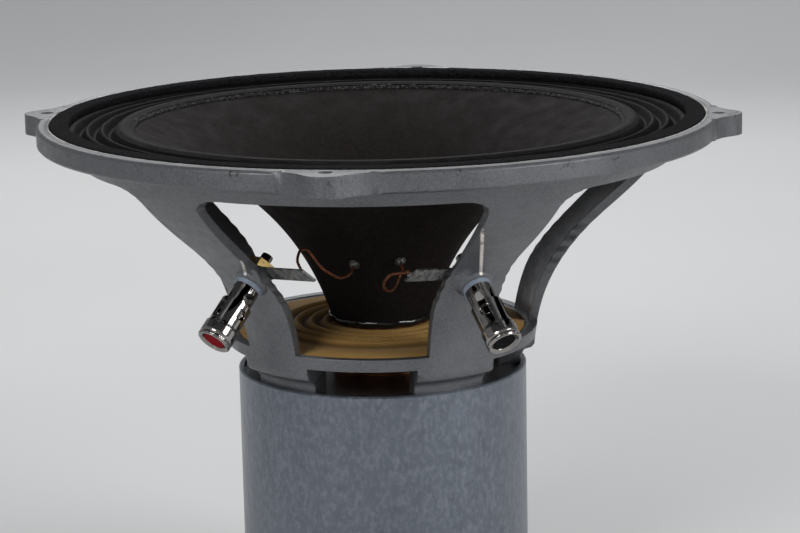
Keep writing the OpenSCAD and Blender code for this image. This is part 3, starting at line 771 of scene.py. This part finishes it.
def cut_leg(work, colour):
    """Cuts a fine grid into the leg's faces, with one line along the ridge."""
    faces = [
        f for f in work.faces
        if any(near_leg(v.co, colour) for v in f.verts) or near_leg(f.calc_center_median(), colour)
    ]
    geom = faces + list({e for f in faces for e in f.edges}) + list({v for f in faces for v in f.verts})
    angles = [math.radians(SIDES[colour] * (LEG_CUT_AZ + LEG_CUT_STEP * k)) for k in range(LEG_CUTS)]
    planes = [(ridge_start(colour), ridge_normal(colour))] + [through_axis(a) for a in angles]
    cut(work, geom, planes)


def ridge_start(colour):
    """The ridge's end at the window."""
    azimuth, drop = FOLDS[colour][0]
    return on_wall(SIDES[colour] * azimuth, drop)


def ridge_normal(colour):
    """The normal of the plane through the ridge and across the wall, towards the window."""
    azimuth, drop = FOLDS[colour][1]
    end = on_wall(SIDES[colour] * azimuth, drop)
    inwards = seat(colour).to_3x3() @ Vector((0, 0, -1))
    normal = (end - ridge_start(colour)).cross(inwards).normalized()
    return normal if normal.x * SIDES[colour] < 0 else -normal


def fold_legs(points):
    """Folds the two terminal legs inwards between each ridge and the window's edge."""
    azimuth = np.degrees(np.arctan2(points[:, 0], -points[:, 1]))
    drop = TOP - points[:, 2]
    for colour, ((_, top), (_, end)) in FOLDS.items():
        outwards = SIDES[colour] * azimuth
        aside = (points - np.array(ridge_start(colour))) @ np.array(ridge_normal(colour))
        near = (outwards > FOLD_AZ[0]) & (outwards < FOLD_AZ[1]) & (aside > 0)
        near &= (drop > top - 1 * MM) & (drop < FOLD_FADE)
        index = np.flatnonzero(near)
        depth, inwards = wall_depth(points[index])
        fade = 1 - smooth_step((drop[index] - end) / (FOLD_FADE - end))
        move = np.minimum(FOLD_SLOPE[colour] * aside[index], FOLD_MOST) * fade
        away = from_terminal(points[index], colour)
        move *= smooth_step((away - SEAT_PAD[0]) / (SEAT_PAD[1] - SEAT_PAD[0]))
        move *= np.where(depth > WALL_T + 1 * MM, 0, 1) * (1 - 0.8 * np.clip(depth / WALL_T, 0, 1))
        around = np.radians(azimuth[index])
        points[index, 0] += move * inwards[:, 0] * np.sin(around)
        points[index, 1] -= move * inwards[:, 0] * np.cos(around)
        points[index, 2] += move * inwards[:, 1]
    return points


def basket_casting():
    """The casting: the CAD basket with its two terminal legs folded."""
    work = cad_mesh("basket")
    bmesh.ops.dissolve_limit(work, angle_limit=FLAT, verts=work.verts, edges=work.edges)
    cut(work, whole(work), [level(TOP - BAND_TOP - BAND_H * k) for k in range(BANDS)])
    for colour in SIDES:
        cut_leg(work, colour)
    mesh = meshed(work, "basket_casting")
    reshaped(mesh, fold_legs(true_wall(coordinates(mesh))), CASTING_CREASE)
    piece = put("basket_casting", mesh, [FINISH["cast_paint"]], smooth=False)
    even = piece.modifiers.new("even", "WEIGHTED_NORMAL")
    even.keep_sharp = True
    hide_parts("basket")
    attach(piece, "frame")


basket_casting()


# Cloth rings
def ring_of_sectors(name, outline, steps, material, node, shape=None):
    """A soft ring between frame and cone, made of sectors that are separate pieces."""
    for i in range(SECTORS):
        first = i * 360 / SECTORS
        mesh = lathe(f"{name}_{i:02d}", outline, steps, first, 360 / SECTORS, shape)
        piece = put(f"{name}_{i:02d}", mesh, [material])
        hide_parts(node)
        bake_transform(piece)


# The surround's pleats and the cone's flare
PLEATS = 3
PLEAT_IN, PLEAT_OUT = 118 * MM, 138 * MM
PLEAT_H = 3.6 * MM
PLEAT_Z = TOP - 5 * MM
CONE_GAIN = (MOUTH_R - NECK_R) / (math.exp(FLARE * (MOUTH_Z - NECK_Z)) - 1)


def cone_r(z):
    """Outer radius of the cone's paper."""
    return NECK_R + CONE_GAIN * (math.exp(FLARE * (z - NECK_Z)) - 1)


def cone_in_r(z):
    """Inner radius of the cone's paper."""
    slope = FLARE * CONE_GAIN * math.exp(FLARE * (z - NECK_Z))
    return cone_r(z) - PAPER_T * math.hypot(1, slope)


def surround():
    """The pleated cloth ring between the basket and the cone's edge."""
    half = CLOTH_T / 2
    lift = half + 0.5 * MM
    lip = [(cone_in_r(MOUTH_Z - d * MM), MOUTH_Z - d * MM + lift) for d in (1.2, 0.9, 0.6, 0.3, 0)]
    pitch = (PLEAT_OUT - PLEAT_IN) / PLEATS
    waves = []
    for i in range(PLEATS * 20 + 1):
        r = PLEAT_IN + pitch * i / 20
        waves.append((r, PLEAT_Z + PLEAT_H / 2 * math.cos(2 * math.pi * (r - PLEAT_IN) / pitch)))
    rest = TOP - 3.5 * MM + half + 0.02 * MM
    over_edge = [(MOUTH_R + 0.5 * MM, MOUTH_Z + 0.6 * MM)]
    rim = [(PLEAT_OUT + 2 * MM, rest), (SURROUND_R, rest)]
    outline = sheet_outline(lip + over_edge + waves + rim, CLOTH_T)

    def uneven(r, azimuth, z):
        if PLEAT_IN < r < PLEAT_OUT:
            z += 0.18 * MM * bumps(on_axis(r, azimuth, z), 6 * MM)
        return r, z

    ring_of_sectors(
        "surround", outline, 16, FINISH["surround_cloth"], "surround",
        uneven,
    )


def edge_bead():
    """The speckled bead of adhesive where the surround's lip ends on the cone's front."""
    z = MOUTH_Z - 1.2 * MM
    r = cone_in_r(z)
    outline = [
        (r - 1.6 * MM, cone_front(r - 1.6 * MM)), (r - 1.2 * MM, cone_front(r - 1.2 * MM) + 0.5 * MM),
        (r - 0.5 * MM, cone_front(r - 0.5 * MM) + 0.9 * MM), (r + 0.4 * MM, z + 1.2 * MM),
        (r + 1.2 * MM, z + 1.5 * MM), (r + 1.7 * MM, z + 1.3 * MM), (r + 0.8 * MM, z + 0.6 * MM),
        (r - 0.8 * MM, cone_front(r - 0.8 * MM) - 0.1 * MM),
    ]

    def lumpy(r_, azimuth, z_):
        p = on_axis(r_, azimuth, z_)
        return r_ + 0.35 * MM * bumps(p, 3 * MM, 7), z_ + 0.18 * MM * bumps(p, 2 * MM, 3)

    piece = put("cone_edge_bead", lathe("cone_edge_bead", outline, 480, shape=lumpy), [EDGE_SPECKLE])
    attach(piece, "cone_assembly")


def cone_front(r):
    """Height of the cone's front face at a radius."""
    low, high = NECK_Z, MOUTH_Z
    for _ in range(40):
        middle = (low + high) / 2
        if cone_in_r(middle) < r:
            low = middle
        else:
            high = middle
    return low


surround()
edge_bead()


ROLL_IN = 22.7 * MM
ROLL_PITCH = 6.66 * MM
ROLLS = 4
ROLL_H = 2.6 * MM
ROLL_Z = TOP - 97 * MM


def spider():
    """The rolled cloth ring between the shelf and the cone's neck."""
    half = CLOTH_T / 2
    collar_in = FORMER_R + 0.3 * MM
    collar_out = collar_in + CLOTH_T
    low = ROLL_Z - ROLL_H / 2 - half
    rim_z = TOP - 99 * MM + half
    out_r = ROLL_IN + ROLLS * ROLL_PITCH
    waves = []
    for i in range(2, ROLLS * 22 + 1):
        r = ROLL_IN + ROLL_PITCH * i / 22
        waves.append((r, ROLL_Z - ROLL_H / 2 * math.cos(2 * math.pi * (r - ROLL_IN) / ROLL_PITCH)))
    line = waves + [(out_r + 0.8 * MM, rim_z + 0.12 * MM), (out_r + 2 * MM, rim_z), (SPIDER_R, rim_z)]
    outline = [(collar_in, low), (collar_out, low)] + sheet_outline(line, CLOTH_T)
    outline += [(collar_out, low + ROLL_H), (collar_in, low + ROLL_H)]
    ring_of_sectors(
        "spider", outline, 12, FINISH["spider_cloth"], "spider",
    )


spider()


# Cone assembly
def cone_shell():
    """The paper cone as one smooth turned shell."""
    steps = 90
    levels = [NECK_Z + (MOUTH_Z - NECK_Z) * i / steps for i in range(steps + 1)]
    outline = [(cone_r(z), z) for z in levels] + [(cone_in_r(z), z) for z in reversed(levels)]

    def uneven(r, azimuth, z):
        return r + 0.12 * MM * bumps(on_axis(r, azimuth, z), 30 * MM, 11), z

    piece = put("cone_shell", lathe("cone_shell", outline, 240, shape=uneven), [FINISH["cone_paper"]])
    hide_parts("cone")
    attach(piece, "cone_assembly")


def neck_bead():
    """The uneven, glossy bead of adhesive round the neck."""
    inner = FORMER_R + 0.05 * MM
    outline = [
        (inner, NECK_Z - 1.5 * MM), (NECK_R + 0.6 * MM, NECK_Z - 1.5 * MM),
        (NECK_R + 1.3 * MM, NECK_Z - 0.7 * MM), (NECK_R + 1.5 * MM, NECK_Z + 0.2 * MM),
        (NECK_R + 1.35 * MM, NECK_Z + 1.1 * MM),
        (NECK_R + 0.8 * MM, NECK_Z + 1.8 * MM), (NECK_R + 0.1 * MM, NECK_Z), (inner, NECK_Z - 0.05 * MM),
    ]

    def lumpy(r, azimuth, z):
        if r < NECK_R + 0.3 * MM:
            return r, z
        p = on_axis(r, azimuth, 0)
        return r + 0.4 * MM * bumps(p, 5 * MM, 2), z + 0.55 * MM * bumps(p, 4 * MM, 5)

    piece = put("neck_bead", lathe("neck_bead", outline, 260, shape=lumpy), [FINISH["black_glue"]])
    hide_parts("neck_glue")
    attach(piece, "cone_assembly")


cone_shell()
neck_bead()


# Gasket
def gasket():
    """The felt ring in the flange's recess, with an uneven top and inner edge."""
    inner = GASKET_R - GASKET_W
    low = edge("gasket", 0, 2)
    round_r = 0.8 * MM
    third = 0.3 * round_r
    outline = [(inner, low), (inner, GASKET_TOP - round_r), (inner + third, GASKET_TOP - third)]
    outline += [(inner + round_r + (GASKET_R - inner - 2 * round_r) * i / 8, GASKET_TOP) for i in range(9)]
    outline += [(GASKET_R - third, GASKET_TOP - third), (GASKET_R, GASKET_TOP - round_r), (GASKET_R, low)]

    def felted(r, azimuth, z):
        p = on_axis(r, azimuth, z)
        if z > low + 1 * MM:
            z -= 0.22 * MM * (1 + bumps(p, 2.2 * MM)) / 2 + 0.2 * MM * (1 + bumps(p, 9 * MM, 4)) / 2
        if r < inner + 1 * MM:
            r += 0.4 * MM * bumps(p, 4 * MM, 9)
        return r, z

    piece = put("gasket_ring", lathe("gasket_ring", outline, 720, shape=felted), [FINISH["gasket_felt"]])
    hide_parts("gasket")
    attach(piece, "frame")


gasket()


# Terminals: the spring's size and ends, and the radii in millimetres that the plated parts have
SPRING_TURNS = 4
SPRING_WIRE_R = 0.4 * MM
SPRING_R = 3.5 * MM
SPRING_LOW, SPRING_HIGH = 15.2 * MM, 26.9 * MM
POST_RADII = (5.9, 4.3, 2.6)
SLEEVE_RADII = (7.05, 6.25, 7.7, 7.45, 7.5, 7.2, 6.5, 5.9, 5.2)
RADIUS_REACH = 0.05 * MM
PLATED_CREASE = math.radians(24)
SOLDER_SIZE = (2.2 * MM, 1.5 * MM, 0.9 * MM)


def blob(name, place, size, seed, material, body):
    """A lump of solder: an uneven, flattened ball. place is its frame."""
    mesh = bpy.data.meshes.new(name)
    work = bmesh.new()
    bmesh.ops.create_icosphere(work, subdivisions=4, radius=1)
    for v in work.verts:
        lump = 1 + 0.28 * bumps(v.co, 0.7, seed)
        v.co = place @ Vector((v.co.x * size[0] * lump, v.co.y * size[1] * lump, v.co.z * size[2] * lump))
    work.to_mesh(mesh)
    work.free()
    piece = put(name, mesh, [material])
    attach(piece, body)


def return_spring(colour):
    """The wire spring inside a sleeve, attached to the frame."""
    steps = SPRING_TURNS * 28
    place = seat(colour)
    route = []
    for i in range(steps + 1):
        a = 2 * math.pi * SPRING_TURNS * i / steps
        s = SPRING_LOW + (SPRING_HIGH - SPRING_LOW) * i / steps
        route.append(place @ Vector((SPRING_R * math.cos(a), SPRING_R * math.sin(a), s)))
    name = f"{colour}_coil_spring"
    piece = put(name, sweep(name, route, SPRING_WIRE_R, 10), [FINISH["bright_steel"]])
    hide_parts(f"{colour}_spring")
    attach(piece, "frame")
    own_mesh(piece)


def turned(colour, part, radii, body):
    """A terminal's plated part: the CAD solid, cut finely and made truly round."""
    work = cad_mesh(f"{colour}_{part}")
    place = seat(colour)
    work.transform(place.inverted())
    planes = [level(k * 1.1 * MM) for k in range(-14, 30)]
    planes += [through_axis(math.radians(3 + 7.5 * k)) for k in range(24)]
    cut(work, whole(work), planes)
    mesh = meshed(work, f"{colour}_{part}_plated")
    points = coordinates(mesh)
    r = np.hypot(points[:, 0], points[:, 1])
    levels = np.array(radii) * MM
    nearest = levels[np.abs(r[:, None] - levels[None]).argmin(1)]
    scale = np.where(np.abs(r - nearest) < RADIUS_REACH, nearest / np.maximum(r, 1e-9), 1)
    points[:, :2] *= scale[:, None]
    reshaped(mesh, points @ np.array(place)[:3, :3].T + np.array(place)[:3, 3], PLATED_CREASE)
    piece = put(f"{colour}_{part}_plated", mesh, [FINISH["nickel"]], smooth=False)
    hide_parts(f"{colour}_{part}")
    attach(piece, body)


def lug_solder(colour):
    """The solder on the back of a lug."""
    x, y = LUG_END[colour]
    on_lug = seat(colour) @ Matrix.Translation((x * MM, y * MM, LUG_BACK - 0.1 * MM))
    metal = FINISH["tinned_metal"]
    blob(f"{colour}_lug_solder", on_lug, SOLDER_SIZE, SIDES[colour] + 3, metal, "frame")


for side_name in SIDES:
    turned(side_name, "post", POST_RADII, "frame")
    turned(side_name, "sleeve", SLEEVE_RADII, f"{side_name}_terminal_sleeve")
    return_spring(side_name)
    lug_solder(side_name)


# Finishes of the CAD nodes that stay
for item in frame["record"]["subparts"]:
    for slot in frame["nodes"][item["node"]].material_slots:
        slot.material = FINISH[item["material_slot"]]


# Studio
def stage():
    """A pale floor that runs up into a backdrop."""
    tone = Shader("studio", Roughness=0.9, Specular_IOR_Level=0.2)
    cloud = tone.noise(0.5, 2)
    tone.colour(tone.mix(tone.between(cloud, 0.3, 0.7), (0.72, 0.72, 0.72), (0.76, 0.76, 0.76)))
    wide, back, rise, bend = 6.0, 2.6, 3.5, 0.8
    profile = [(-6.0, 0.0), (back - bend, 0.0)]
    profile += [
        (back - bend + bend * math.sin(a), bend - bend * math.cos(a))
        for a in (math.radians(90 * i / 12) for i in range(1, 13))
    ]
    profile.append((back, rise))
    rows = [[Vector((side * wide, y, z)) for side in (-1, 1)] for y, z in profile]
    floor = put("studio_floor", grid_mesh("studio_floor", rows), [tone.material])


def lamp(name, place, aim, size, power):
    """A soft rectangular lamp."""
    light = bpy.data.lights.new(name, "AREA")
    light.shape = "RECTANGLE"
    light.size, light.size_y = size
    light.energy = power
    piece = bpy.data.objects.new(name, light)
    piece.location = place
    piece.rotation_euler = (Vector(aim) - Vector(place)).to_track_quat("-Z", "Y").to_euler()
    bpy.context.scene.collection.objects.link(piece)


def studio():
    """The floor, three soft lamps and a weak even sky."""
    stage()
    middle = (0, 0, 0.17)
    lamp("key", (-0.7, -1.5, 1.15), middle, (0.7, 0.7), 15)
    lamp("side", (1.6, -0.7, 0.9), middle, (0.8, 0.8), 17)
    lamp("back", (-0.3, 1.4, 1.3), middle, (1.2, 0.5), 12)
    world = bpy.data.worlds.new("world")
    bpy.context.scene.world = world
    world.use_nodes = True
    sky = world.node_tree.nodes["Background"]
    sky.inputs["Color"].default_value = (0.8, 0.82, 0.85, 1)
    sky.inputs["Strength"].default_value = 0.35
    bpy.context.scene.view_settings.view_transform = "Standard"


studio()
